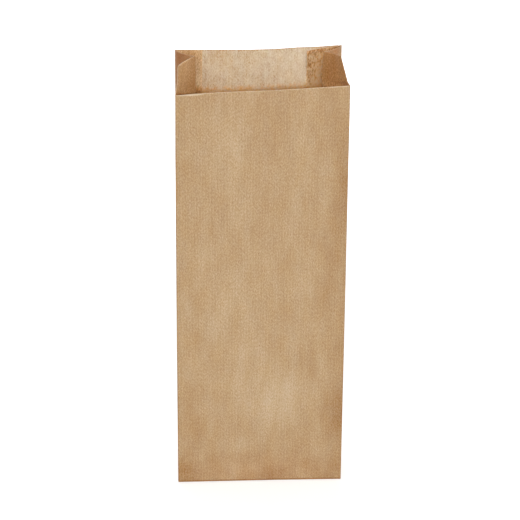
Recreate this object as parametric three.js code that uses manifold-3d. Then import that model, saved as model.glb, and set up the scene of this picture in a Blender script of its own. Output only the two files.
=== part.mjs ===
// A brown paper lunch bag, opened and standing on its squared block bottom.
// Millimetres, +Z up, front panel towards -Y, origin under the middle of the bag's outer box.
// Each sheet is a thin surface cut into cells, folded to its place and then given its thickness.

import * as THREE from 'three';
import { mergeGeometries, mergeVertices } from 'three/addons/utils/BufferGeometryUtils.js';
import Module from 'manifold-3d';

const wasm = await Module();
wasm.setup();

// Driving dimensions of the paper
const BAG_WIDTH = 140; // front and back panels, fold to fold
const GUSSET_HALF = 31; // each half of a side gusset, fold to crease
const BACK_HEIGHT = 364; // back panel and gussets, bottom to cut edge
const FRONT_DROP = 23; // how much lower the front panel is cut
const PAPER = 0.4; // one layer
const GLUE_SINK = 0.05; // how far glued layers press into each other

// Driving dimensions of the glued overlaps, behind which the back sheet is glued
const LEFT_FLANGE = 21.5; // back fold to cut edge
const RIGHT_FLANGE = 31.8;
const RIGHT_FLANGE_SLANT = 2.8; // how much lower its top edge is cut at the inner end
const BACK_SHEET_INSET = 3; // back sheet's side edge, inside the fold

// Driving dimensions of the block bottom, folded under and glued
const FRONT_FLAP = 24; // fold to cut edge
const FLAP_GAP = 1; // between the two flaps' cut edges
const FLAP_CORNER = 15; // how far a flap narrows at each end of its cut edge

// How the opened bag stands: turns in degrees, the rest in millimetres at the mouth
const MOUTH_TURN = 11.5; // front and back cut edges turn, the sides stay in line
const LEFT_TUCK = 25.5; // each gusset half's turn inwards
const RIGHT_TUCK = 29.5;
const FOOT_TUCK = 3; // the same where the crease starts, one gusset half up
const BACK_BOW = 9.2; // back panel bows into the bag
const FRONT_WAVE = 1.6; // front panel waves in and out
const GUSSET_BOW = 2; // each gusset half bows outwards
const LEFT_LIP_LEAN = 1.7; // gusset corner above the front cut leans inwards
const RIGHT_LIP_LEAN = 7.2;

// How finely the sheets are cut into cells
const GUSSET_CELLS = 3;
const FLANGE_CELLS = 2;
const MIDDLE_CELLS = 8;
const BODY_ROWS = 12;
const LIP_ROWS = 3;
const FLAP_ROWS = 2;

const FRONT_HEIGHT = BACK_HEIGHT - FRONT_DROP;
const GLUED_STEP = PAPER - GLUE_SINK; // from one layer's middle to the next one's
const UP = new THREE.Vector3(0, 0, 1);

// Evenly spaced values from one end to the other
function steps(from, to, count) {
  return Array.from({ length: count + 1 }, (_, i) => THREE.MathUtils.lerp(from, to, i / count));
}

// Joins lists of values that follow on from each other
function chain(...lists) {
  return lists.flatMap((list, i) => (i === 0 ? list : list.slice(1)));
}

// Distances across a wide panel, measured from its left fold
const flangeCuts = (width) => chain([0, BACK_SHEET_INSET], steps(BACK_SHEET_INSET, width, FLANGE_CELLS));
const leftFlangeCuts = flangeCuts(LEFT_FLANGE);
const rightFlangeCuts = flangeCuts(RIGHT_FLANGE).map((cut) => BAG_WIDTH - cut).reverse();
const middleCuts = steps(LEFT_FLANGE, BAG_WIDTH - RIGHT_FLANGE, MIDDLE_CELLS);
const panelCuts = chain(leftFlangeCuts, middleCuts, rightFlangeCuts);
const backSheetCuts = panelCuts.slice(1, -1);

// Heights of the cells' edges, so that the foot's slanted creases run from corner to corner
const footRows = steps(0, GUSSET_HALF, GUSSET_CELLS);
const frontRows = chain(footRows, steps(GUSSET_HALF, FRONT_HEIGHT, BODY_ROWS));
const lipRows = steps(FRONT_HEIGHT, BACK_HEIGHT, LIP_ROWS);
const wallRows = chain(frontRows, lipRows);

// How far up the bag a height is, from 0 at the bottom to 1 at the mouth
function rise(height) {
  return height / BACK_HEIGHT;
}

// Direction along the front and back panels, which turns more towards the mouth
function across(height) {
  return new THREE.Vector3(1, 0, 0).applyAxisAngle(UP, THREE.MathUtils.degToRad(MOUTH_TURN * rise(height)));
}

// Direction out through the back panel
function backwards(height) {
  return across(height).applyAxisAngle(UP, Math.PI / 2);
}

// Sine of a gusset half's turn: it grows evenly from the bottom to the crease's start, then to the mouth
function tuckSine(side, height) {
  const foot = Math.sin(THREE.MathUtils.degToRad(FOOT_TUCK));
  const mouth = Math.sin(THREE.MathUtils.degToRad(side < 0 ? LEFT_TUCK : RIGHT_TUCK));
  if (height < GUSSET_HALF) {
    return foot * height / GUSSET_HALF;
  }
  return THREE.MathUtils.mapLinear(height, GUSSET_HALF, BACK_HEIGHT, foot, mouth);
}

// A fold between a gusset and a wide panel: side is -1 left or 1 right, end is -1 front or 1 back
function fold(side, end, height) {
  const halfDepth = GUSSET_HALF * Math.sqrt(1 - tuckSine(side, height) ** 2);
  return across(height).multiplyScalar(side * BAG_WIDTH / 2)
    .add(new THREE.Vector3(0, end * halfDepth, height));
}

// The gusset's edge at a fold: above the front cut it is free and leans into the mouth
function gussetEdge(side, end, height) {
  const edge = fold(side, end, height);
  if (end < 0 && height > FRONT_HEIGHT) {
    const lean = side < 0 ? LEFT_LIP_LEAN : RIGHT_LIP_LEAN;
    edge.x -= side * lean * (height - FRONT_HEIGHT) / FRONT_DROP;
  }
  return edge;
}

// The crease lies one gusset half from both edges, on the bag's inner side
function crease(side, height) {
  const front = gussetEdge(side, -1, height);
  const back = gussetEdge(side, 1, height);
  const span = back.clone().sub(front);
  const inwards = new THREE.Vector3(-side * span.y, side * span.x, 0).normalize();
  const tuck = Math.sqrt(GUSSET_HALF ** 2 - (span.length() / 2) ** 2);
  return front.add(back).multiplyScalar(0.5).addScaledVector(inwards, tuck);
}

// A point of a gusset half, share 0 at the fold and 1 at the crease
function gussetPoint(side, end, share, height) {
  if (height < GUSSET_HALF) {
    const footSine = tuckSine(side, GUSSET_HALF);
    const tuck = GUSSET_HALF * footSine * Math.min(share, height / GUSSET_HALF);
    const edge = fold(side, end, height);
    const middle = across(height).multiplyScalar(side * BAG_WIDTH / 2);
    edge.y = THREE.MathUtils.lerp(edge.y, middle.y, share);
    edge.x -= side * tuck;
    return edge;
  }
  const edge = gussetEdge(side, end, height);
  const inner = crease(side, height);
  const along = inner.clone().sub(edge);
  const outwards = new THREE.Vector3(-along.y, along.x, 0).multiplyScalar(side * end).normalize();
  const climb = THREE.MathUtils.mapLinear(height, GUSSET_HALF, BACK_HEIGHT, 0, 1);
  return edge.lerp(inner, share).addScaledVector(outwards, GUSSET_BOW * climb ** 2 * Math.sin(Math.PI * share));
}

// A point of the front panel, at a distance from its left fold
function frontPoint(distance, height) {
  const share = distance / BAG_WIDTH;
  const wave = FRONT_WAVE * rise(height) ** 2 * Math.sin(2 * Math.PI * share);
  return fold(-1, -1, height).lerp(fold(1, -1, height), share).addScaledVector(backwards(height), wave);
}

// A point of the back panel, moved out by some layers of paper
function backPoint(distance, height, outwards = 0) {
  const share = distance / BAG_WIDTH;
  const bow = BACK_BOW * rise(height) ** 2 * Math.sin(Math.PI * share);
  return fold(-1, 1, height).lerp(fold(1, 1, height), share)
    .addScaledVector(backwards(height), outwards - bow);
}

// Height of a flange's top edge: the right one's slants down from the fold
function flangeTop(distance) {
  const fromRightFold = BAG_WIDTH - distance;
  const slant = fromRightFold > RIGHT_FLANGE ? 0 : RIGHT_FLANGE_SLANT;
  return BACK_HEIGHT - slant * fromRightFold / RIGHT_FLANGE;
}

// A sheet of cells with each corner placed in space, and its outside facing out or turned over
function sheet(cuts, rows, place, turnedOver = false) {
  const geometry = new THREE.PlaneGeometry(1, 1, cuts.length - 1, rows.length - 1);
  const position = geometry.getAttribute('position');
  rows.toReversed().forEach((row, down) => {
    cuts.forEach((cut, along) => {
      const point = place(cut, row);
      position.setXYZ(down * cuts.length + along, point.x, point.y, point.z);
    });
  });
  if (turnedOver) {
    geometry.index.array.reverse();
  }
  geometry.deleteAttribute('normal');
  geometry.deleteAttribute('uv');
  return geometry;
}

// Joins sheets that share a fold into one surface
function joinAtFolds(sheets) {
  const tolerance = PAPER / 100;
  return mergeVertices(mergeGeometries(sheets), tolerance);
}

// How far the faces around a corner push it out, so that every face moves by half the paper
function cornerPush(normals) {
  const softness = 0.002;
  const mean = normals.reduce((sum, normal) => sum.add(normal), new THREE.Vector3()).normalize();
  const matrix = new THREE.Matrix3().identity().multiplyScalar(softness).elements;
  const wanted = mean.clone().multiplyScalar(softness);
  for (const normal of normals) {
    const [x, y, z] = normal.toArray();
    [x * x, x * y, x * z, y * x, y * y, y * z, z * x, z * y, z * z].forEach((value, i) => {
      matrix[i] += value;
    });
    wanted.add(normal);
  }
  const solver = new THREE.Matrix3().fromArray(matrix).invert();
  return wanted.applyMatrix3(solver).multiplyScalar(PAPER / 2);
}

// Gives a surface the paper's thickness: an outer skin, an inner skin and cut edges between them
function thicken(surface) {
  const position = surface.getAttribute('position');
  const index = surface.index.array;
  const corner = (i) => new THREE.Vector3().fromBufferAttribute(position, i);
  const normals = Array.from({ length: position.count }, () => []);
  const halfEdges = new Set();
  for (let i = 0; i < index.length; i += 3) {
    const [a, b, c] = index.slice(i, i + 3);
    const normal = corner(b).sub(corner(a)).cross(corner(c).sub(corner(a))).normalize();
    for (const [from, to] of [[a, b], [b, c], [c, a]]) {
      normals[from].push(normal.clone());
      halfEdges.add(`${from} ${to}`);
    }
  }
  const outer = [];
  const inner = [];
  normals.forEach((around, i) => {
    const push = cornerPush(around);
    outer.push(...corner(i).add(push).toArray());
    inner.push(...corner(i).sub(push).toArray());
  });
  const faces = [...index];
  const under = position.count;
  for (let i = 0; i < index.length; i += 3) {
    faces.push(index[i] + under, index[i + 2] + under, index[i + 1] + under);
  }
  for (const halfEdge of halfEdges) {
    const [from, to] = halfEdge.split(' ').map(Number);
    if (!halfEdges.has(`${to} ${from}`)) {
      faces.push(to, from, from + under, to, from + under, to + under);
    }
  }
  const geometry = new THREE.BufferGeometry();
  geometry.setAttribute('position', new THREE.Float32BufferAttribute([...outer, ...inner], 3));
  geometry.setIndex(faces);
  return geometry;
}

// A closed geometry as a solid that can be joined
function toSolid(geometry) {
  return new wasm.Manifold(new wasm.Mesh({
    numProp: 3,
    vertProperties: new Float32Array(geometry.getAttribute('position').array),
    triVerts: new Uint32Array(geometry.index.array),
  }));
}

// A solid as a geometry again
function toGeometry(solid) {
  const mesh = solid.getMesh();
  const geometry = new THREE.BufferGeometry();
  geometry.setAttribute('position', new THREE.Float32BufferAttribute(mesh.vertProperties, 3));
  geometry.setIndex(new THREE.Uint32BufferAttribute(mesh.triVerts, 1));
  return geometry;
}

// The brown sheet's front panel, cut lower than the rest
function frontPanel() {
  return sheet(panelCuts, frontRows, frontPoint);
}

// One gusset's two halves, from fold to crease
function gusset(side) {
  const shares = steps(0, 1, GUSSET_CELLS);
  return [-1, 1].map((end) => sheet(
    shares,
    wallRows,
    (share, height) => gussetPoint(side, end, share, height),
    side === end,
  ));
}

// One of the brown sheet's flanges inside the back panel
function flange(cuts) {
  const place = (distance, height) => {
    const top = height === BACK_HEIGHT ? flangeTop(distance) : height;
    return backPoint(distance, top);
  };
  return sheet(cuts, wallRows, place, true);
}

// The bottom layer that closes the bag: between the flanges it reaches back to the back sheet
function bottomLayer() {
  const depths = chain(steps(-GUSSET_HALF, 0, GUSSET_CELLS), steps(0, GUSSET_HALF, GUSSET_CELLS));
  const betweenFlanges = middleCuts.slice(1, -1);
  return sheet(panelCuts, depths, (distance, depth) => {
    const reach = depth === GUSSET_HALF && betweenFlanges.includes(distance) ? GLUED_STEP : 0;
    return new THREE.Vector3(distance - BAG_WIDTH / 2, depth + reach, 0);
  }, true);
}

// A flap glued under the bottom: it narrows from its fold to its cut edge
function bottomFlap(cuts, foldDepth, cutDepth, turnedOver) {
  const place = (distance, depth) => {
    const shareIn = (depth - foldDepth) / (cutDepth - foldDepth);
    const halfWidth = BAG_WIDTH / 2;
    const narrowing = 1 - shareIn * FLAP_CORNER / halfWidth;
    return new THREE.Vector3((distance - halfWidth) * narrowing, depth, -GLUED_STEP);
  };
  return sheet(cuts, steps(foldDepth, cutDepth, FLAP_ROWS), place, turnedOver);
}

// The back sheet outside the flanges, folded under the bottom
function backSheet() {
  const heights = [-GLUED_STEP, ...wallRows];
  const wall = sheet(backSheetCuts, heights, (distance, height) => {
    const point = backPoint(distance, Math.max(height, 0), GLUED_STEP);
    point.z = height;
    return point;
  }, true);
  const flap = bottomFlap(backSheetCuts, GUSSET_HALF + GLUED_STEP, FRONT_FLAP + FLAP_GAP - GUSSET_HALF, false);
  return [wall, flap];
}

const brownSheet = joinAtFolds([
  frontPanel(),
  ...gusset(-1),
  ...gusset(1),
  flange(leftFlangeCuts),
  flange(rightFlangeCuts),
  bottomLayer(),
]);
const frontFlap = joinAtFolds([bottomFlap(panelCuts, -GUSSET_HALF, FRONT_FLAP - GUSSET_HALF, true)]);

const bagSolid = [brownSheet, joinAtFolds(backSheet()), frontFlap]
  .map((surface) => toSolid(thicken(surface)))
  .reduce((whole, piece) => whole.add(piece));

const bagGeometry = toGeometry(bagSolid);
bagGeometry.computeBoundingBox();
const middle = bagGeometry.boundingBox.getCenter(new THREE.Vector3());
bagGeometry.translate(-middle.x, -middle.y, -bagGeometry.boundingBox.min.z);
bagGeometry.computeVertexNormals();

const kraftPaper = new THREE.MeshStandardMaterial({ color: 0xc1a17c, roughness: 0.85, metalness: 0 });
const paperBag = new THREE.Mesh(bagGeometry, kraftPaper);
paperBag.name = 'paper_bag';

const lunchBag = new THREE.Group();
lunchBag.add(paperBag);

export default lunchBag;
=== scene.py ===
# A brown paper lunch bag, opened and standing on its squared block bottom
# Metres, +Z up, front panel towards -Y
import math

import bmesh
import bpy
from mathutils import Matrix, Vector, noise

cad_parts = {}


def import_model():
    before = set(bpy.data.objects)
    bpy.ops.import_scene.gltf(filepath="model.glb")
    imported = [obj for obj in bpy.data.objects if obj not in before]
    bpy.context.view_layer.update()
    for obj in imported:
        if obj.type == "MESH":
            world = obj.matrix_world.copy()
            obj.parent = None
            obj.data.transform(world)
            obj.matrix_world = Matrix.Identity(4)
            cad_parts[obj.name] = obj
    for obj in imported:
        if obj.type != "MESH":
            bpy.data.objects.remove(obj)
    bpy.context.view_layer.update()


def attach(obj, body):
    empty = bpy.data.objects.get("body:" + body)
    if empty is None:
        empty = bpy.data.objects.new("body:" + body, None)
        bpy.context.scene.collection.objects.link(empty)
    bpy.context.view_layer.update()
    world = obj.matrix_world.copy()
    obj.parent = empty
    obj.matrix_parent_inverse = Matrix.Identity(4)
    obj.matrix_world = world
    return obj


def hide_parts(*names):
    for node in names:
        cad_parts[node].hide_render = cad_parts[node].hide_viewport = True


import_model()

# Sizes of the paper
BAG_WIDTH = 0.140  # front and back panels, fold to fold
GUSSET_HALF = 0.031  # each half of a side gusset, fold to crease
BACK_HEIGHT = 0.364  # back panel and gussets, bottom to cut edge
FRONT_DROP = 0.023  # how much lower the front panel is cut
FRONT_HEIGHT = BACK_HEIGHT - FRONT_DROP
PAPER = 0.0003  # one layer
GLUED_STEP = 0.00026  # from one glued layer's middle to the next one's

# Sizes of the glued overlaps and the block bottom
LEFT_FLANGE = 0.0215
RIGHT_FLANGE = 0.0318
RIGHT_FLANGE_SLANT = 0.0028
BACK_SHEET_INSET = 0.003
FRONT_FLAP = 0.024
FLAP_GAP = 0.001
FLAP_CORNER = 0.015

# How the opened bag stands
MOUTH_TURN = math.radians(11.5)
LEFT_TUCK = math.radians(25.5)
RIGHT_TUCK = math.radians(29.5)
FOOT_TUCK = math.radians(3)
BACK_BOW = 0.0092
FRONT_WAVE = 0.0016
# How far each gusset half bows outwards at the mouth, by side (-1 left) and end (-1 front)
GUSSET_BOWS = {(-1, -1): 0.0004, (-1, 1): 0.0032, (1, -1): 0.002, (1, 1): 0.002}
LEFT_LIP_LEAN = 0.0022
RIGHT_LIP_LEAN = 0.0079
# How far inside the front panel's corner a lip starts, and the height over which it draws in
LEFT_LIP_NOTCH = (0.0018, 0.010)
RIGHT_LIP_NOTCH = (0.0014, 0.0018)
DIP_RADIUS = 0.0025  # of the dip in the left lip's top, just beside its corner

# How much deeper the creases are pressed in than the straight tuck, at some heights
LEFT_PRESSES = ((GUSSET_HALF, 0), (0.200, 0.0022), (0.330, 0.0048), (BACK_HEIGHT, 0.0009))
RIGHT_PRESSES = ((GUSSET_HALF, 0), (0.200, 0.0025), (0.341, 0.0052), (BACK_HEIGHT, -0.0009))

# How much further out the front folds stand than straight ones, at some heights
LEFT_SPREADS = ((0, 0), (0.100, -0.00015), (0.250, 0), (0.290, 0.0003), (FRONT_HEIGHT, 0.0002))
RIGHT_SPREADS = (
    (0, 0),
    (0.070, -0.0001),
    (0.240, 0.00015),
    (0.280, 0.0003),
    (0.310, 0.0006),
    (FRONT_HEIGHT, 0.0007),
)

# How far the foot's front fold stands off the floor along its length, and how far in the paper follows
FRONT_FOOT_LIFTS = ((0, 0.00065), (0.085, 0.0007), (BAG_WIDTH, 0.0002))
FOOT_LIFT_REACH = 0.016

# Middle of the foot and of its inner bottom layer, in the frame
FOOT_MIDDLE = Vector((0, 0.00032, GLUED_STEP + PAPER / 2))

# Places round the brown sheet, measured from the front panel's left fold
LEFT_CREASE = -GUSSET_HALF
LEFT_BACK_FOLD = -2 * GUSSET_HALF
LEFT_CUT = LEFT_BACK_FOLD - LEFT_FLANGE
RIGHT_CREASE = BAG_WIDTH + GUSSET_HALF
RIGHT_BACK_FOLD = BAG_WIDTH + 2 * GUSSET_HALF
RIGHT_CUT = RIGHT_BACK_FOLD + RIGHT_FLANGE
FOLDS = (LEFT_BACK_FOLD, LEFT_CREASE, 0, BAG_WIDTH, RIGHT_CREASE, RIGHT_BACK_FOLD)

# How uneven the cut edges are: how far each place lies above its even height
MOUTH_LIFTS = (
    (LEFT_CUT, 0.00065),
    (LEFT_BACK_FOLD, 0.0009),
    (LEFT_CREASE, 0.0012),
    (0, -0.0006),
    (BAG_WIDTH, 0.0008),
    (RIGHT_CREASE, -0.0013),
    (RIGHT_BACK_FOLD, -0.0006),
    (RIGHT_CUT, -0.0003),
)
FRONT_LIFTS = ((0, -0.0006), (BAG_WIDTH, 0.0006))
BACK_SHEET_LIFTS = ((0.082, 0), (0.100, 0.0003), (0.116, -0.0003))  # between the back folds
LIFT_REACH = 0.05  # how far below the cut the paper follows

# How finely the paper is cut into cells
CELL = 0.002
NARROW_CELL = 0.0008  # beside folds and cut edges
SAME_PLACE = NARROW_CELL / 9  # places nearer than this are one
WELD_REACH = NARROW_CELL / 50
FOLD_ROUNDING = 0.0005

# Soft dents of the handled paper: how deep, and how long across and upwards
BROAD_DENTS = (0.0012, 0.045, 0.090)
FINE_DENTS = (0.0003, 0.016, 0.050)
CALM_STRIP = 0.012  # how far from a fold or the foot the dents reach their depth

# Each panel's pattern of dents, and how far on in the noise its fine dents are
FRONT_PATTERN = 1
BACK_PATTERN = 9
GUSSET_PATTERNS = {(-1, -1): 46, (-1, 1): 48, (1, -1): 52, (1, 1): 54}
FINE_PATTERN_STEP = 20

# What the paper's finish is laid out by: its UV map and two attributes
SHEET_UV = "sheet"
TO_CUT = "to_cut"
TO_FOLD = "to_fold"


def mix(start, end, share):
    """Value at a share of the way from start to end"""
    return start + (end - start) * share


def smooth(share):
    """Soft step from 0 to 1"""
    held = min(max(share, 0), 1)
    return held * held * (3 - 2 * held)


def between(places, where):
    """Value at a place, on straight lines between the places given"""
    for (start, first), (end, last) in zip(places, places[1:]):
        if where <= end:
            return mix(first, last, (where - start) / (end - start))
    return places[-1][1]


def dents(kind, pattern, distance, height):
    """Soft noise of one kind of dent"""
    depth, length_across, length_up = kind
    return depth * noise.noise(Vector((distance / length_across, height / length_up, pattern)))


def ripple(pattern, distance, height, width):
    """Soft dents between folds at 0 and at width, calm at the folds and at the foot"""
    calm = smooth(min(distance, width - distance) / CALM_STRIP) * smooth(height / CALM_STRIP)
    broad = dents(BROAD_DENTS, pattern, distance, height)
    fine = dents(FINE_DENTS, pattern + FINE_PATTERN_STEP, distance, height)
    return calm * (broad + fine)


def rise(height):
    """Share of the way up to the mouth"""
    return height / BACK_HEIGHT


def across(height):
    """Direction along the wide panels, which turns more towards the mouth"""
    turn = MOUTH_TURN * rise(height)
    return Vector((math.cos(turn), math.sin(turn), 0))


def backwards(height):
    """Direction out through the back panel"""
    along = across(height)
    return Vector((-along.y, along.x, 0))


def tuck_sine(side, height):
    """Sine of a gusset half's turn inwards"""
    foot = math.sin(FOOT_TUCK)
    mouth = math.sin(LEFT_TUCK if side < 0 else RIGHT_TUCK)
    if height < GUSSET_HALF:
        return foot * height / GUSSET_HALF
    return mix(foot, mouth, (height - GUSSET_HALF) / (BACK_HEIGHT - GUSSET_HALF))


def fold(side, end, height):
    """A fold: side is -1 left or 1 right, end is -1 front or 1 back"""
    half_depth = GUSSET_HALF * math.sqrt(1 - tuck_sine(side, height) ** 2)
    spread = between(LEFT_SPREADS if side < 0 else RIGHT_SPREADS, height) if end < 0 else 0
    return across(height) * (side * BAG_WIDTH / 2) + Vector((side * spread, end * half_depth, height))


def gusset_edge(side, end, height):
    """The gusset's edge at a fold: above the front cut it is free and leans into the mouth"""
    edge = fold(side, end, height)
    climb = height - FRONT_HEIGHT
    if end < 0 and climb > 0:
        lean = LEFT_LIP_LEAN if side < 0 else RIGHT_LIP_LEAN
        notch, reach = LEFT_LIP_NOTCH if side < 0 else RIGHT_LIP_NOTCH
        start = notch * min(climb / reach, 1)
        edge.x -= side * (start + (lean - notch) * climb / FRONT_DROP)
    return edge


def crease(side, height):
    """The crease lies about one gusset half from both edges, on the bag's inner side"""
    front, back = gusset_edge(side, -1, height), gusset_edge(side, 1, height)
    span = back - front
    inwards = Vector((-side * span.y, side * span.x, 0)).normalized()
    tuck = math.sqrt(GUSSET_HALF ** 2 - (span.length / 2) ** 2)
    press = between(LEFT_PRESSES if side < 0 else RIGHT_PRESSES, height)
    return (front + back) / 2 + inwards * (tuck + press)


def gusset_point(side, end, share, height):
    """A point of a gusset half, share 0 at the fold and 1 at the crease"""
    if height < GUSSET_HALF:
        edge = fold(side, end, height)
        edge.y = mix(edge.y, (across(height) * (side * BAG_WIDTH / 2)).y, share)
        edge.x -= side * GUSSET_HALF * math.sin(FOOT_TUCK) * min(share, height / GUSSET_HALF)
        return edge
    edge, inner = gusset_edge(side, end, height), crease(side, height)
    along = inner - edge
    outwards = (Vector((-along.y, along.x, 0)) * (side * end)).normalized()
    climb = (height - GUSSET_HALF) / (BACK_HEIGHT - GUSSET_HALF)
    bow = GUSSET_BOWS[side, end]
    wave = ripple(GUSSET_PATTERNS[side, end], share * GUSSET_HALF, height - GUSSET_HALF, GUSSET_HALF)
    return edge.lerp(inner, share) + outwards * (bow * climb ** 2 * math.sin(math.pi * share) + wave)


def front_point(distance, height):
    """A point of the front panel, at a distance from its left fold"""
    share = distance / BAG_WIDTH
    wave = FRONT_WAVE * rise(height) ** 2 * math.sin(2 * math.pi * share)
    wave -= ripple(FRONT_PATTERN, distance, height, BAG_WIDTH)
    return fold(-1, -1, height).lerp(fold(1, -1, height), share) + backwards(height) * wave


def back_point(distance, height, outwards=0.0):
    """A point of the back panel, moved out by some layers of paper"""
    share = distance / BAG_WIDTH
    bow = BACK_BOW * rise(height) ** 2 * math.sin(math.pi * share)
    bow -= ripple(BACK_PATTERN, distance, height, BAG_WIDTH)
    return fold(-1, 1, height).lerp(fold(1, 1, height), share) + backwards(height) * (outwards - bow)


def settled(place, cut_height, lift, height):
    """Moves a point up or down so that the sheet's edge lies where it was really cut"""
    return place + Vector((0, 0, lift * smooth((height - cut_height + LIFT_REACH) / LIFT_REACH)))


def foot_lift(distance, away):
    """How far the foot is off the floor, at a distance along the front fold and away from it"""
    return between(FRONT_FOOT_LIFTS, distance) * (1 - smooth(away / FOOT_LIFT_REACH))


def lip_dip(girth, height):
    """How far the left lip's top lies lower just beside its corner, which itself stays as high"""
    if not -DIP_RADIUS < girth < 0:
        return Vector()
    dip = DIP_RADIUS - math.sqrt(DIP_RADIUS ** 2 - (DIP_RADIUS + girth) ** 2)
    return Vector((0, 0, dip * smooth((height - BACK_HEIGHT + 2 * DIP_RADIUS) / (2 * DIP_RADIUS))))


def level_place(girth, height):
    """Where a point of the brown sheet lies on a level foot, at a place round the bag and a height"""
    if 0 < girth < BAG_WIDTH:
        return settled(front_point(girth, height), FRONT_HEIGHT, between(FRONT_LIFTS, girth), height)
    if girth < LEFT_BACK_FOLD:
        point = back_point(LEFT_BACK_FOLD - girth, height)
    elif girth < LEFT_CREASE:
        point = gusset_point(-1, 1, (girth - LEFT_BACK_FOLD) / GUSSET_HALF, height)
    elif girth <= 0:
        point = gusset_point(-1, -1, -girth / GUSSET_HALF, height)
    elif girth <= RIGHT_CREASE:
        point = gusset_point(1, -1, (girth - BAG_WIDTH) / GUSSET_HALF, height)
    elif girth <= RIGHT_BACK_FOLD:
        point = gusset_point(1, 1, (RIGHT_BACK_FOLD - girth) / GUSSET_HALF, height)
    else:
        point = back_point(BAG_WIDTH - (girth - RIGHT_BACK_FOLD), height)
    lift = between(MOUTH_LIFTS, girth)
    if girth > RIGHT_BACK_FOLD:
        lift -= RIGHT_FLANGE_SLANT * (girth - RIGHT_BACK_FOLD) / RIGHT_FLANGE
    if girth in (0, BAG_WIDTH):
        climb = min(max((height - FRONT_HEIGHT) / FRONT_DROP, 0), 1)
        lift = mix(between(FRONT_LIFTS, girth), lift, climb)
        return settled(point, mix(FRONT_HEIGHT, BACK_HEIGHT, climb), lift, height)
    return settled(point, BACK_HEIGHT, lift, height) - lip_dip(girth, height)


def wall_place(girth, height):
    """The same with the front of the foot a little off the floor"""
    point = level_place(girth, height)
    if LEFT_CREASE < girth < RIGHT_CREASE:
        past_front = max(-girth, girth - BAG_WIDTH, 0)
        point.z += foot_lift(min(max(girth, 0), BAG_WIDTH), past_front + height)
    return point


def wall_to_cut(girth, height):
    """Distance from a point of the brown sheet to its nearest cut edge"""
    if 0 < girth < BAG_WIDTH:
        return FRONT_HEIGHT - height
    distances = [BACK_HEIGHT - height, girth - LEFT_CUT, RIGHT_CUT - girth]
    if height >= FRONT_HEIGHT:
        distances.append(abs(girth) if girth < BAG_WIDTH / 2 else abs(girth - BAG_WIDTH))
    return min(distances)


def wall_to_fold(girth, height):
    """Distance from a point of the brown sheet to its nearest fold"""
    distances = [abs(girth - place) for place in (LEFT_BACK_FOLD, 0, BAG_WIDTH, RIGHT_BACK_FOLD)]
    if not LEFT_BACK_FOLD < girth < 0 and not BAG_WIDTH < girth < RIGHT_BACK_FOLD:
        return min(*distances, height)
    to_crease = min(abs(girth - LEFT_CREASE), abs(girth - RIGHT_CREASE))
    if height > GUSSET_HALF:
        return min(*distances, to_crease)
    to_slanted_fold = abs(GUSSET_HALF - to_crease - height) / math.sqrt(2)
    return min(*distances, to_slanted_fold, height)


def bottom_to_cut(distance, depth):
    """The bottom has no cut edge, so all of it is far from one"""
    return CELL


def bottom_to_fold(distance, depth):
    """Distance from a point of the bottom to its nearest fold"""
    return min(distance, BAG_WIDTH - distance, GUSSET_HALF - abs(depth))


def spaced(start, end):
    """Places from start to end about a cell apart, with a narrow cell at both ends"""
    first, last = start + NARROW_CELL, end - NARROW_CELL
    count = round((last - first) / CELL)
    return [start, *(mix(first, last, i / count) for i in range(count + 1)), end]


def chain(*lists):
    """Joins lists of places that follow on from each other"""
    return [*lists[0], *(place for part in lists[1:] for place in part[1:])]


# Where the columns and rows of cells begin and end
GUSSET_CUTS = spaced(0, GUSSET_HALF)
LEFT_CUTS = spaced(0, LEFT_FLANGE)
MIDDLE_CUTS = spaced(LEFT_FLANGE, BAG_WIDTH - RIGHT_FLANGE)
RIGHT_CUTS = spaced(BAG_WIDTH - RIGHT_FLANGE, BAG_WIDTH)
PANEL_CUTS = chain(LEFT_CUTS, MIDDLE_CUTS, RIGHT_CUTS)
WALL_ROWS = chain(GUSSET_CUTS, spaced(GUSSET_HALF, FRONT_HEIGHT), spaced(FRONT_HEIGHT, BACK_HEIGHT))


def brown_cuts():
    """Places of the brown sheet's columns, from one flange's cut edge to the other's"""
    left_half = [-cut for cut in reversed(GUSSET_CUTS)]
    return chain(
        [LEFT_BACK_FOLD - cut for cut in reversed(LEFT_CUTS)],
        [LEFT_CREASE + cut for cut in left_half],
        left_half,
        PANEL_CUTS,
        [BAG_WIDTH + cut for cut in GUSSET_CUTS],
        [RIGHT_CREASE + cut for cut in GUSSET_CUTS],
        [RIGHT_BACK_FOLD + BAG_WIDTH - cut for cut in reversed(RIGHT_CUTS)],
    )


def is_same(first, second):
    """Whether two places are one"""
    return abs(first - second) < SAME_PLACE


def is_over_front(girth, height):
    """Whether a place lies in the front's cut-out, between the lips, or on its edge"""
    return height > FRONT_HEIGHT - SAME_PLACE and -SAME_PLACE < girth < BAG_WIDTH + SAME_PLACE


def turn_over(faces):
    """Turns a grid's outer side to face the other way"""
    for face in faces:
        face.normal_flip()


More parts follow.
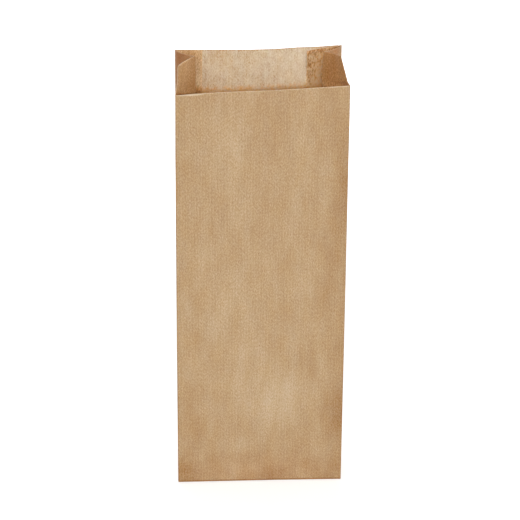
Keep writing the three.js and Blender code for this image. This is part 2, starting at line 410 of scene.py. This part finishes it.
class Paper:
    """A sheet of paper in the making"""

    def __init__(self):
        self.bm = bmesh.new()
        self.uv = self.bm.loops.layers.uv.new(SHEET_UV)
        self.girth = self.bm.verts.layers.float.new("girth")
        self.height = self.bm.verts.layers.float.new("height")
        self.to_cut = self.bm.verts.layers.float.new(TO_CUT)
        self.to_fold = self.bm.verts.layers.float.new(TO_FOLD)

    def lay(self, cuts, rows, place, to_cut, to_fold):
        """Adds a grid of cells, with each corner put in its place, and lists its faces"""
        made = bmesh.ops.create_grid(
            self.bm, x_segments=len(cuts) - 1, y_segments=len(rows) - 1, size=0.5,
        )
        for vert in made["verts"]:
            cut = cuts[round((vert.co.x + 0.5) * (len(cuts) - 1))]
            row = rows[round((vert.co.y + 0.5) * (len(rows) - 1))]
            vert[self.girth], vert[self.height] = cut, row
            vert[self.to_cut] = to_cut(cut, row)
            vert[self.to_fold] = to_fold(cut, row)
            vert.co = place(cut, row) + FOOT_MIDDLE
        faces = list(dict.fromkeys(face for vert in made["verts"] for face in vert.link_faces))
        for face in faces:
            for loop in face.loops:
                loop[self.uv].uv = (loop.vert[self.girth], loop.vert[self.height])
        return faces

    def weld(self):
        """Joins the grids where they meet"""
        bmesh.ops.remove_doubles(self.bm, verts=self.bm.verts, dist=WELD_REACH)

    def is_upright_fold(self, edge):
        """Whether an edge is on a fold of the wall, apart from the creases' folded-in feet"""
        if edge.is_boundary:
            return False
        girths = [vert[self.girth] for vert in edge.verts]
        on_fold = any(all(is_same(girth, place) for girth in girths) for place in FOLDS)
        on_crease = is_same(girths[0], LEFT_CREASE) or is_same(girths[0], RIGHT_CREASE)
        low = min(vert[self.height] for vert in edge.verts) < GUSSET_HALF - SAME_PLACE
        return on_fold and not (on_crease and low)

    def round_folds(self, edges):
        """Gives the sharp folds a small radius"""
        bmesh.ops.bevel(
            self.bm, geom=edges, offset=FOLD_ROUNDING, offset_type="OFFSET",
            segments=2, profile=0.5, affect="EDGES", material=-1,
        )

    def finish(self, name, materials):
        """Makes the piece: an outer face, an inner face and cut edges, each with its own finish"""
        for face in self.bm.faces:
            face.smooth = True
        for edge in self.bm.edges:
            edge.smooth = not edge.is_boundary
        mesh = bpy.data.meshes.new(name)
        self.bm.to_mesh(mesh)
        self.bm.free()
        piece = bpy.data.objects.new(name, mesh)
        bpy.context.scene.collection.objects.link(piece)
        for material in materials:
            mesh.materials.append(material)
        thickness = piece.modifiers.new("thickness", "SOLIDIFY")
        thickness.thickness = PAPER
        thickness.offset = 0
        thickness.use_even_offset = False
        thickness.use_quality_normals = True
        thickness.material_offset = 1
        thickness.material_offset_rim = 2
        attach(piece, "root")
        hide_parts("paper_bag")


def flap_place(fold_depth, cut_depth):
    """Where a flap under the bottom lies: it narrows from its fold to its cut edge"""
    def place(distance, depth):
        share = (depth - fold_depth) / (cut_depth - fold_depth)
        narrowing = 1 - share * FLAP_CORNER / (BAG_WIDTH / 2)
        height = foot_lift(distance, depth + GUSSET_HALF) - GLUED_STEP
        return Vector(((distance - BAG_WIDTH / 2) * narrowing, depth, height))
    return place


def flap_to_cut(cuts, cut_depth):
    """Distance from a point of a flap to its nearest cut edge"""
    def to_cut(distance, depth):
        return min(distance - cuts[0], cuts[-1] - distance, abs(depth - cut_depth))
    return to_cut


def flap_to_fold(fold_depth):
    """Distance from a point of a flap to its fold"""
    def to_fold(distance, depth):
        return abs(depth - fold_depth)
    return to_fold


def bottom_place(distance, depth):
    """The bottom layer inside: between the flanges it reaches back to the back sheet"""
    between_flanges = LEFT_FLANGE < distance < BAG_WIDTH - RIGHT_FLANGE
    reach = GLUED_STEP if depth == GUSSET_HALF and between_flanges else 0
    return Vector((distance - BAG_WIDTH / 2, depth + reach, foot_lift(distance, depth + GUSSET_HALF)))


def brown_sheet(materials):
    """Front panel, gussets, the flanges inside the back, the bottom layer and the front flap"""
    paper = Paper()
    wall = paper.lay(brown_cuts(), WALL_ROWS, wall_place, wall_to_cut, wall_to_fold)
    over_front = [
        face for face in wall
        if all(is_over_front(vert[paper.girth], vert[paper.height]) for vert in face.verts)
    ]
    bmesh.ops.delete(paper.bm, geom=over_front, context="FACES")
    folds = [edge for edge in paper.bm.edges if paper.is_upright_fold(edge)]
    depths = chain([cut - GUSSET_HALF for cut in GUSSET_CUTS], GUSSET_CUTS)
    bottom = paper.lay(PANEL_CUTS, depths, bottom_place, bottom_to_cut, bottom_to_fold)
    turn_over(bottom)
    paper.weld()
    paper.round_folds([edge for edge in folds if edge.is_valid])
    cut_depth = FRONT_FLAP - GUSSET_HALF
    flap = paper.lay(
        PANEL_CUTS, spaced(-GUSSET_HALF, cut_depth), flap_place(-GUSSET_HALF, cut_depth),
        flap_to_cut(PANEL_CUTS, cut_depth), flap_to_fold(-GUSSET_HALF),
    )
    turn_over(flap)
    paper.finish("brown_sheet", materials)


def back_sheet(materials):
    """The paler sheet behind the flanges, folded under the bottom"""
    paper = Paper()
    left_cut, right_cut = BACK_SHEET_INSET, BAG_WIDTH - BACK_SHEET_INSET
    cuts = [left_cut, *(cut for cut in PANEL_CUTS if left_cut < cut < right_cut), right_cut]
    rows = [-GLUED_STEP, *WALL_ROWS[1:]]
    left_lift, right_lift = dict(MOUTH_LIFTS)[LEFT_BACK_FOLD], dict(MOUTH_LIFTS)[RIGHT_BACK_FOLD]
    lifts = ((0, left_lift), *BACK_SHEET_LIFTS, (BAG_WIDTH, right_lift))

    def wall_point(distance, height):
        point = back_point(distance, max(height, 0), GLUED_STEP)
        point.z = height
        return settled(point, BACK_HEIGHT, between(lifts, distance), height)

    def to_cut(distance, height):
        return min(distance - left_cut, right_cut - distance, BACK_HEIGHT - height)

    def to_fold(distance, height):
        return height + GLUED_STEP

    wall = paper.lay(cuts, rows, wall_point, to_cut, to_fold)
    turn_over(wall)
    cut_depth = FRONT_FLAP + FLAP_GAP - GUSSET_HALF
    fold_depth = GUSSET_HALF + GLUED_STEP
    paper.lay(
        cuts, spaced(cut_depth, fold_depth), flap_place(fold_depth, cut_depth),
        flap_to_cut(cuts, cut_depth), flap_to_fold(fold_depth),
    )
    paper.weld()
    paper.finish("back_sheet", materials)


def tone(red, green, blue):
    """A colour as it is seen, in the shader's own numbers"""
    def linear(level):
        share = level / 255
        return share / 12.92 if share <= 0.04045 else ((share + 0.055) / 1.055) ** 2.4
    return linear(red), linear(green), linear(blue), 1


def node(tree, kind, inputs=None, **settings):
    """Adds a shader node: an input is a value or another node's output"""
    made = tree.nodes.new("ShaderNode" + kind)
    for name, value in settings.items():
        setattr(made, name, value)
    for socket, value in (inputs or {}).items():
        if isinstance(value, bpy.types.NodeSocket):
            tree.links.new(value, made.inputs[socket])
        else:
            made.inputs[socket].default_value = value
    return made


def fine_grain(tree, where, across_size, along_size, detail, offset, turn=0.0):
    """Noise whose spots have a size across and along the sheet, from a place of its own"""
    placed = node(tree, "Mapping", {
        "Vector": where,
        "Location": (offset, offset, 0),
        "Rotation": (0, 0, turn),
        "Scale": (1 / across_size, 1 / along_size, 1),
    })
    return node(
        tree, "TexNoise", {"Vector": placed.outputs[0], "Scale": 1.0, "Detail": detail},
        noise_dimensions="2D",
    ).outputs[0]


def math_node(tree, operation, *values):
    """A value worked out from others"""
    return node(tree, "Math", dict(enumerate(values)), operation=operation).outputs[0]


def ramp(tree, value, low, high, at_low, at_high):
    """A value that runs softly from at_low to at_high while another runs from low to high"""
    return node(
        tree, "MapRange",
        {"Value": value, "From Min": low, "From Max": high, "To Min": at_low, "To Max": at_high},
        interpolation_type="SMOOTHSTEP",
    ).outputs[0]


def girth_of(tree, where):
    """A point's place round the bag"""
    return node(tree, "SeparateXYZ", {0: where}).outputs[0]


def height_of(tree, where):
    """A point's height up the sheet"""
    return node(tree, "SeparateXYZ", {0: where}).outputs[1]


def camera_sees(tree):
    """1 for what the camera sees, also in a reflection, and 0 for what only gives light"""
    path = node(tree, "LightPath")
    seen = math_node(tree, "MAXIMUM", path.outputs["Is Camera Ray"], path.outputs["Is Glossy Ray"])
    return math_node(tree, "MAXIMUM", seen, path.outputs["Is Transmission Ray"])


# The paper's ribs: how far apart they are, and how much lighter or darker they make it
RIB_PITCH = 0.00237
RIB_TONE = 0.035


def kraft(name, dark, middle, light, extras=(), tint=None, mottle=0.14, fray_and_glint=0.35):
    """Ribbed kraft paper: ribs, fibres, streaks and clouds between a dark and a light tone

    extras add to its lightness, tint is where it is filtered and by which colour, used for painted
    warm shade, mottle is how uneven its richness is, and fray_and_glint how much lighter it is along
    its cut edges, from loose fibres and a painted highlight. Every kraft also gets painted shade along
    its folds.
    """
    material = bpy.data.materials.new(name)
    material.use_nodes = True
    tree = material.node_tree
    shader = tree.nodes["Principled BSDF"]
    where = node(tree, "UVMap", uv_map=SHEET_UV).outputs[0]
    wander = fine_grain(tree, where, 0.03, 0.08, 1.0, 5.0)
    swayed = math_node(tree, "MULTIPLY_ADD", wander, RIB_PITCH, girth_of(tree, where))
    turned = math_node(tree, "MULTIPLY", swayed, 2 * math.pi / RIB_PITCH)
    ribs = math_node(tree, "SINE", turned)
    fibres = fine_grain(tree, where, 0.0008, 0.0016, 2.0, 1.0, 0.5)
    streaks = fine_grain(tree, where, 0.0014, 0.016, 2.0, 2.0)
    patches = fine_grain(tree, where, 0.0085, 0.022, 2.0, 7.0, 0.15)
    clouds = fine_grain(tree, where, 0.028, 0.09, 2.0, 3.0, 0.1)
    patterns = ((fibres, 0.93), (streaks, 0.17), (patches, 0.19), (clouds, 0.33))
    evened = 0.5 - sum(weight for _, weight in patterns) / 2
    level = math_node(tree, "MULTIPLY_ADD", ribs, RIB_TONE, evened)
    for pattern, weight in patterns:
        level = math_node(tree, "MULTIPLY_ADD", pattern, weight, level)
    # fold_shade_lines paint shade along the folds; cut_edge_fibres_and_light paints fibres and a
    # highlight along the cuts
    for extra in (fold_shade_lines, cut_edge_fibres_and_light(fray_and_glint), bark_flecks, *extras):
        level = math_node(tree, "ADD", level, extra(tree, where))
    colour = node(tree, "ValToRGB", {0: level})
    stops = colour.color_ramp.elements
    stops[0].color = tone(*dark)
    stops[1].color = tone(*light)
    stops.new(0.5).color = tone(*middle)
    paper_colour = colour.outputs[0]
    if tint:
        marks, filter_colour = tint
        tinted = node(
            tree, "Mix", {"Factor": marks(tree, where), 6: paper_colour, 7: (*filter_colour, 1)},
            data_type="RGBA", blend_type="MULTIPLY",
        )
        paper_colour = tinted.outputs[2]
    richer = fine_grain(tree, where, 0.010, 0.024, 3.0, 41.0, 0.2)
    richness = math_node(tree, "MULTIPLY_ADD", richer, mottle, 1 - mottle / 2)
    mottled = node(tree, "HueSaturation", {"Saturation": richness, "Color": paper_colour})
    tree.links.new(mottled.outputs[0], shader.inputs["Base Color"])
    shader.inputs["Roughness"].default_value = 0.75
    shader.inputs["Specular IOR Level"].default_value = 0.3
    shader.inputs["Subsurface Weight"].default_value = 0.3
    shader.inputs["Subsurface Radius"].default_value = (1.0, 0.75, 0.45)
    shader.inputs["Subsurface Scale"].default_value = 0.0006
    tooth = math_node(tree, "MULTIPLY_ADD", ribs, 0.35, fibres)
    bump = node(tree, "Bump", {"Height": tooth, "Strength": 1.0, "Distance": 0.00003})
    tree.links.new(bump.outputs[0], shader.inputs["Normal"])
    return material


def fold_shade_lines(tree, where):
    """Painted shade: darker lines along the folds, where the rounded paper turns away from the light
    """
    to_fold = node(tree, "Attribute", attribute_name=TO_FOLD).outputs["Fac"]
    return ramp(tree, to_fold, 0.0002, 0.0010, -0.22, 0.0)


def cut_edge_fibres_and_light(amount):
    """Loose fibres and a painted highlight along the cut edges, lighter by an amount, or painted shade
    below 0
    """
    def line(tree, where):
        to_cut = node(tree, "Attribute", attribute_name=TO_CUT).outputs["Fac"]
        return ramp(tree, to_cut, 0.0001, 0.0009, amount, 0.0)
    return line


def bark_flecks(tree, where):
    """A few small dark flecks, one at most in each cell of a loose pattern"""
    cell = 0.016
    placed = node(tree, "Mapping", {"Vector": where, "Scale": (1 / cell, 1 / cell, 1)})
    cells = node(
        tree, "TexVoronoi", {"Vector": placed.outputs[0], "Scale": 1.0},
        voronoi_dimensions="2D",
    )
    near = ramp(tree, cells.outputs["Distance"], 0.010, 0.030, 1.0, 0.0)
    chosen = ramp(tree, cells.outputs["Color"], 0.45, 0.65, 0.0, -0.55)
    return math_node(tree, "MULTIPLY", near, chosen)


# How wide the border is between the tones of a gusset and of an overlap
TONE_BORDER = 0.001


def on_right_overlap(tree, where):
    """1 on the right overlap and 0 beside it"""
    return ramp(tree, girth_of(tree, where), RIGHT_BACK_FOLD, RIGHT_BACK_FOLD + TONE_BORDER, 0.0, 1.0)


def overlap_tones(tree, where):
    """The glued overlaps are paler inside, and the right one is mottled by its glue"""
    left = ramp(tree, girth_of(tree, where), LEFT_BACK_FOLD - TONE_BORDER, LEFT_BACK_FOLD, 0.22, 0.0)
    glue = math_node(tree, "MULTIPLY_ADD", overlap_blots(tree, where), 1.5, -0.30)
    mottled = math_node(tree, "MULTIPLY", on_right_overlap(tree, where), glue)
    return math_node(tree, "ADD", left, mottled)


def overlap_blots(tree, where):
    """Blots of glue on the right overlap, fainter below the mouth"""
    blots = fine_grain(tree, where, 0.0017, 0.0034, 3.0, 9.0, 0.15)
    strength = ramp(tree, height_of(tree, where), 0.300, 0.335, 0.3, 1.0)
    return math_node(tree, "MULTIPLY_ADD", math_node(tree, "SUBTRACT", blots, 0.5), strength, 0.5)


# Heights between which the painted shadow of the front panel's edge on the inside grows and ends, and
# how much lower its ragged end can be
FRINGE_SHADE_GROWS = (0.295, 0.332)
FRINGE_SHADE_ENDS = (0.3342, 0.3401)
FRINGE_SHADE_RAGGED = 0.007


def painted_fringe_shade(tree, where):
    """A browner, patchy painted shadow of the front panel's edge: ragged above, fading out downwards
    """
    height = height_of(tree, where)
    ragged = fine_grain(tree, where, 0.0036, 0.008, 2.0, 31.0)
    edge = math_node(tree, "MULTIPLY_ADD", ragged, FRINGE_SHADE_RAGGED, height)
    upper = ramp(tree, edge, *FRINGE_SHADE_ENDS, 1.0, 0.0)
    zone = math_node(tree, "MULTIPLY", upper, ramp(tree, height, *FRINGE_SHADE_GROWS, 0.0, 1.0))
    blots = fine_grain(tree, where, 0.0030, 0.0016, 2.0, 33.0)
    return math_node(tree, "MULTIPLY", zone, ramp(tree, blots, 0.38, 0.60, 0.70, 1.10))


def pressed_glue(tree, where):
    """Faint blotches of glue and pressed fibres on the back sheet"""
    blots = fine_grain(tree, where, 0.0045, 0.006, 3.0, 23.0, 0.3)
    streaks = fine_grain(tree, where, 0.0022, 0.014, 2.0, 27.0, 0.1)
    both = math_node(tree, "MULTIPLY_ADD", streaks, 0.2, -0.3)
    return math_node(tree, "MULTIPLY_ADD", blots, 0.4, both)


# Soft marks, each with its place round the bag and its height, its half width and half height,
# its lean in degrees, and how much lighter it is or, in a list of tints, how strong

# Lighter and darker places on the outside: painted light and shade of dents and handling, painted
# shade down the front panel's right side and high in the left gusset's valley, and two painted
# highlights where the front panel's cut edge catches the light
HANDLED_LIGHT_AND_SHADE_MARKS = (
    # Painted shade down the front panel's right side
    ((0.142, 0.160), (0.030, 0.250), 0, -0.16),
    ((0.080, 0.072), (0.045, 0.050), 0, 0.15),
    ((0.055, 0.128), (0.045, 0.045), 0, 0.07),
    ((0.042, 0.303), (0.030, 0.024), 0, 0.06),
    ((0.028, 0.212), (0.018, 0.040), 0, 0.08),
    ((0.107, 0.183), (0.018, 0.040), 0, 0.12),
    ((0.045, 0.168), (0.024, 0.036), 0, 0.12),
    ((0.018, 0.135), (0.016, 0.034), 0, -0.09),
    ((0.018, 0.166), (0.011, 0.024), 0, -0.08),
    ((0.013, 0.083), (0.013, 0.018), 0, -0.09),
    ((0.122, 0.305), (0.028, 0.045), 0, -0.10),
    ((0.100, 0.240), (0.020, 0.080), 0, 0.04),
    ((0.012, 0.045), (0.025, 0.040), 0, -0.12),
    ((0.045, 0.095), (0.026, 0.020), 0, 0.09),
    ((0.052, 0.034), (0.026, 0.016), 0, 0.13),
    ((0.110, 0.108), (0.014, 0.036), 12, -0.13),
    ((0.086, 0.190), (0.006, 0.070), 0, -0.05),
    ((0.000, 0.280), (0.012, 0.080), 0, -0.05),
    # Painted highlights where the front panel's cut edge catches the light
    ((0.014, 0.3405), (0.014, 0.0013), 0, 0.80),
    ((0.130, 0.3410), (0.013, 0.0012), 0, 0.70),
    ((0.143, 0.265), (0.028, 0.075), 0, -0.14),
    ((0.134, 0.060), (0.024, 0.048), 0, -0.24),
    # Painted shade high in the left gusset's valley
    ((-0.0520, 0.364), (0.026, 0.080), 0, -0.14),
)
# Painted warm shade high in the valleys of the gussets' back halves, and a warmer tone along the foot
WARM_SHADE_AND_FOOT_MARKS = (
    ((-0.0520, 0.364), (0.034, 0.080), 0, 1.0),
    ((0.1865, 0.364), (0.024, 0.080), 0, 0.8),
    ((0.070, 0.004), (0.110, 0.032), 0, 0.25),
)
# Painted warm shade inside: where the lips leave the front panel, on the left overlap behind the front
# panel's edge and in the right gusset's front half
INNER_WARM_SHADE_MARKS = (
    ((-0.0160, 0.3368), (0.022, 0.0024), 18, 1.0),
    ((0.1560, 0.3366), (0.018, 0.0020), -18, 0.7),
    ((-0.0790, 0.3320), (0.009, 0.004), 0, 1.0),
    ((0.1555, 0.350), (0.026, 0.060), 0, 0.62),
    ((0.1555, 0.000), (0.026, 0.600), 0, 0.3),
)
# Painted light and shade inside the lips, the gussets and the overlaps: a highlight along the left
# lip's top, shade where the lips leave the front panel and along the top edges, and lighter places
# that offset shade low on the overlaps and in the right gusset
INNER_LIGHT_AND_SHADE_MARKS = (
    ((-0.0150, 0.3644), (0.020, 0.0020), 0, 0.40),
    ((-0.0160, 0.3366), (0.022, 0.0020), 18, -0.50),
    ((0.1560, 0.3364), (0.018, 0.0018), -18, -0.35),
    ((-0.0730, 0.3600), (0.012, 0.012), 0, -0.18),
    ((-0.0600, 0.3645), (0.050, 0.0016), 0, -0.50),
    ((-0.0750, 0.3390), (0.014, 0.008), 0, 0.22),
    ((0.2180, 0.3640), (0.034, 0.0048), 0, -0.60),
    ((0.2120, 0.3340), (0.030, 0.016), 0, 0.50),
    ((0.2170, 0.3470), (0.010, 0.030), 0, 0.30),
    ((0.2330, 0.3500), (0.008, 0.030), 0, -0.16),
    ((0.1555, 0.3400), (0.030, 0.040), 0, -0.05),
    ((0.1555, 0.3300), (0.030, 0.024), 0, 0.22),
)
# Painted light and shade on the inside of the back sheet: lighter towards its right, painted shade
# along its top edge, and a lighter band that offsets the shade behind the front panel's edge
PALE_LIGHT_AND_SHADE_MARKS = (
    ((0.096, 0.345), (0.042, 0.050), 0, 0.17),
    ((0.070, 0.3650), (0.140, 0.0022), 0, -0.50),
    ((0.070, 0.3280), (0.180, 0.0078), 0, 0.74),
    ((0.030, 0.3480), (0.030, 0.0120), 0, 0.07),
)
# Darker and lighter glue blotches along the foot, and painted shade along its bottom fold
FOOT_GLUE_AND_SHADE_MARKS = (
    # Painted shade along the bottom fold
    ((0.070, 0.0000), (0.250, 0.0018), 0, -0.50),
    ((0.002, 0.008), (0.026, 0.030), 0, -0.22),
    ((0.056, 0.006), (0.034, 0.018), 0, 0.15),
    ((0.080, 0.006), (0.018, 0.014), 0, -0.12),
    ((0.134, 0.012), (0.020, 0.026), 0, -0.18),
)


def soft_marks(marks):
    """Soft lighter and darker patches, as an extra of the kraft paper"""
    def patches(tree, where):
        total = 0.0
        for (girth, height), (half_width, half_height), lean, amount in marks:
            placed = node(tree, "Mapping", {
                "Vector": where,
                "Location": (girth, height, 0),
                "Rotation": (0, 0, math.radians(lean)),
                "Scale": (half_width, half_height, 1),
            }, vector_type="TEXTURE")
            reach = node(tree, "VectorMath", {0: placed.outputs[0]}, operation="LENGTH")
            patch = ramp(tree, reach.outputs["Value"], 0.0, 1.0, amount, 0.0)
            total = math_node(tree, "ADD", patch, total)
        return total
    return patches


def inner_glue_and_shade_tints(tree, where):
    """Where the inside of the brown sheet looks warmer: glue soaked into the right overlap, and
    painted warm shade
    """
    blots = ramp(tree, overlap_blots(tree, where), 0.33, 0.65, 0.80, 0.10)
    soaked = math_node(tree, "MULTIPLY", on_right_overlap(tree, where), blots)
    marks = math_node(tree, "ADD", soaked, soft_marks(INNER_WARM_SHADE_MARKS)(tree, where))
    return math_node(tree, "MAXIMUM", painted_fringe_shade(tree, where), marks)


def foot_glue(tree, where):
    """Darker and lighter blotches over the glued foot"""
    near = ramp(tree, height_of(tree, where), 0.002, 0.034, 1.0, 0.0)
    blots = fine_grain(tree, where, 0.02, 0.012, 2.0, 14.0)
    return math_node(tree, "MULTIPLY", near, math_node(tree, "MULTIPLY_ADD", blots, -0.35, 0.13))


# What the cut edge round the mouth's top is filtered by as painted shade, and over what distance it
# begins
TOP_SHADE_FILTER = (0.62, 0.58, 0.55, 1)
TOP_SHADE_BORDER = 0.002


def cut_edge(name, dark, light):
    """Pale fibres in the thickness of a cut, with painted shade round the mouth's top but not on the
    left lip
    """
    material = bpy.data.materials.new(name)
    material.use_nodes = True
    tree = material.node_tree
    shader = tree.nodes["Principled BSDF"]
    where = node(tree, "TexCoord").outputs["Object"]
    spots = node(tree, "TexNoise", {"Vector": where, "Scale": 900.0, "Detail": 2.0}).outputs[0]
    colour = node(tree, "ValToRGB", {0: spots})
    colour.color_ramp.elements[0].color = tone(*dark)
    colour.color_ramp.elements[1].color = tone(*light)
    on_sheet = node(tree, "UVMap", uv_map=SHEET_UV).outputs[0]
    from_lip_middle = math_node(tree, "ADD", girth_of(tree, on_sheet), GUSSET_HALF / 2)
    beside_lip = math_node(tree, "ABSOLUTE", from_lip_middle)
    off_lip = ramp(tree, beside_lip, GUSSET_HALF / 2 - TOP_SHADE_BORDER, GUSSET_HALF / 2, 0.0, 1.0)
    high = ramp(tree, height_of(tree, on_sheet), BACK_HEIGHT - TOP_SHADE_BORDER, BACK_HEIGHT, 0.0, 1.0)
    top_shade = math_node(tree, "MULTIPLY", off_lip, high)
    top_shaded = node(
        tree, "Mix", {"Factor": top_shade, 6: colour.outputs[0], 7: TOP_SHADE_FILTER},
        data_type="RGBA", blend_type="MULTIPLY",
    )
    tree.links.new(top_shaded.outputs[2], shader.inputs["Base Color"])
    shader.inputs["Roughness"].default_value = 0.9
    return material


def camera():
    """The camera that took the picture, about a metre in front and above the mouth"""
    data = bpy.data.cameras.new("camera")
    focal_pixels, picture_pixels = 1338.2, 520
    from_foot = Vector((-0.0690, -1.0493, 0.5692))
    data.sensor_width = 36
    data.lens = focal_pixels * data.sensor_width / picture_pixels
    made = bpy.data.objects.new("camera", data)
    bpy.context.scene.collection.objects.link(made)
    yaw, pitch, roll = math.radians(3.775), math.radians(19.791), math.radians(0.598)
    turn = (
        Matrix.Rotation(-yaw, 4, "Z") @ Matrix.Rotation(math.pi / 2 - pitch, 4, "X")
        @ Matrix.Rotation(roll, 4, "Z")
    )
    made.matrix_world = Matrix.Translation(from_foot + FOOT_MIDDLE) @ turn
    bpy.context.scene.camera = made


def lamp(name, azimuth, elevation, softness, level):
    """A far soft lamp, as wide as softness in degrees, that lights a facing surface to a level"""
    data = bpy.data.lights.new(name, "SUN")
    data.angle = math.radians(softness)
    data.energy = level * math.pi
    made = bpy.data.objects.new(name, data)
    bpy.context.scene.collection.objects.link(made)
    distance = 2
    around, up = math.radians(azimuth), math.radians(elevation)
    towards = Vector((math.sin(around) * math.cos(up), -math.cos(around) * math.cos(up), math.sin(up)))
    made.location = towards * distance
    made.rotation_mode = "QUATERNION"
    made.rotation_quaternion = towards.to_track_quat("Z", "Y")


def world(level):
    """Even light from all round, in front of a white background"""
    made = bpy.data.worlds.new("studio")
    bpy.context.scene.world = made
    made.use_nodes = True
    tree = made.node_tree
    tree.nodes.clear()
    strength = math_node(tree, "MULTIPLY_ADD", camera_sees(tree), 1 - level, level)
    background = node(tree, "Background", {"Color": (1, 1, 1, 1), "Strength": strength})
    out = node(tree, "OutputWorld")
    tree.links.new(background.outputs[0], out.inputs[0])


def floor():
    """A white floor that keeps the bag's shadow and glows up to white away from it"""
    half_width = 6
    glow_grows = (0.4, 1.5)
    near_glow = 0.64
    bm = bmesh.new()
    bmesh.ops.create_grid(bm, x_segments=8, y_segments=8, size=half_width)
    mesh = bpy.data.meshes.new("floor")
    bm.to_mesh(mesh)
    bm.free()
    made = bpy.data.objects.new("floor", mesh)
    bpy.context.scene.collection.objects.link(made)
    material = bpy.data.materials.new("white floor")
    material.use_nodes = True
    tree = material.node_tree
    tree.nodes.clear()
    lit = node(tree, "BsdfDiffuse", {"Color": (0.75, 0.75, 0.75, 1)})
    reach = node(tree, "VectorMath", {0: node(tree, "TexCoord").outputs["Object"]}, operation="LENGTH")
    white = ramp(tree, reach.outputs["Value"], *glow_grows, near_glow, 1.0)
    seen_white = math_node(tree, "MULTIPLY", camera_sees(tree), white)
    glow = node(tree, "Emission", {"Color": (1, 1, 1, 1), "Strength": seen_white})
    both = node(tree, "AddShader", {0: lit.outputs[0], 1: glow.outputs[0]})
    out = node(tree, "OutputMaterial")
    tree.links.new(both.outputs[0], out.inputs[0])
    mesh.materials.append(material)


EDGE = cut_edge("cut edge", (204, 172, 136), (238, 216, 188))
brown_sheet([
    kraft(
        "kraft outside", (161, 116, 69), (193, 161, 121), (222, 200, 168),
        extras=(foot_glue, soft_marks(HANDLED_LIGHT_AND_SHADE_MARKS), soft_marks(FOOT_GLUE_AND_SHADE_MARKS)),
        # Filter of the painted warm shade in the gussets' valleys and of the warmer foot
        tint=(soft_marks(WARM_SHADE_AND_FOOT_MARKS), (0.86, 0.56, 0.36)),
    ),
    kraft(
        "kraft inside", (152, 98, 46), (200, 154, 103), (253, 219, 174),
        extras=(overlap_tones, soft_marks(INNER_LIGHT_AND_SHADE_MARKS)),
        tint=(inner_glue_and_shade_tints, (0.94, 0.73, 0.46)),
        fray_and_glint=0.12,
    ),
    EDGE,
])
back_sheet([
    kraft("pale kraft outside", (170, 136, 98), (202, 174, 140), (228, 206, 180)),
    kraft(
        "pale kraft inside", (182, 128, 72), (219, 197, 163), (242, 229, 207),
        extras=(pressed_glue, soft_marks(PALE_LIGHT_AND_SHADE_MARKS)),
        # Painted warm shadow of the front panel's edge on the inside of the back sheet
        tint=(painted_fringe_shade, (0.97, 0.70, 0.39)),
        mottle=0.35, fray_and_glint=-0.2,
    ),
    EDGE,
])

camera()
world(0.24)
lamp("key", 31, 9.5, 5, 0.27)
lamp("front fill", -10, 25, 50, 0.22)
lamp("low front fill", -6, 13, 12, 0.19)
lamp("back fill", 190, 25, 40, 0.42)
lamp("left fill", -110, 20, 40, 0.15)
lamp("right fill", 115, 20, 40, 0.14)
floor()
bpy.context.scene.view_settings.view_transform = "Standard"
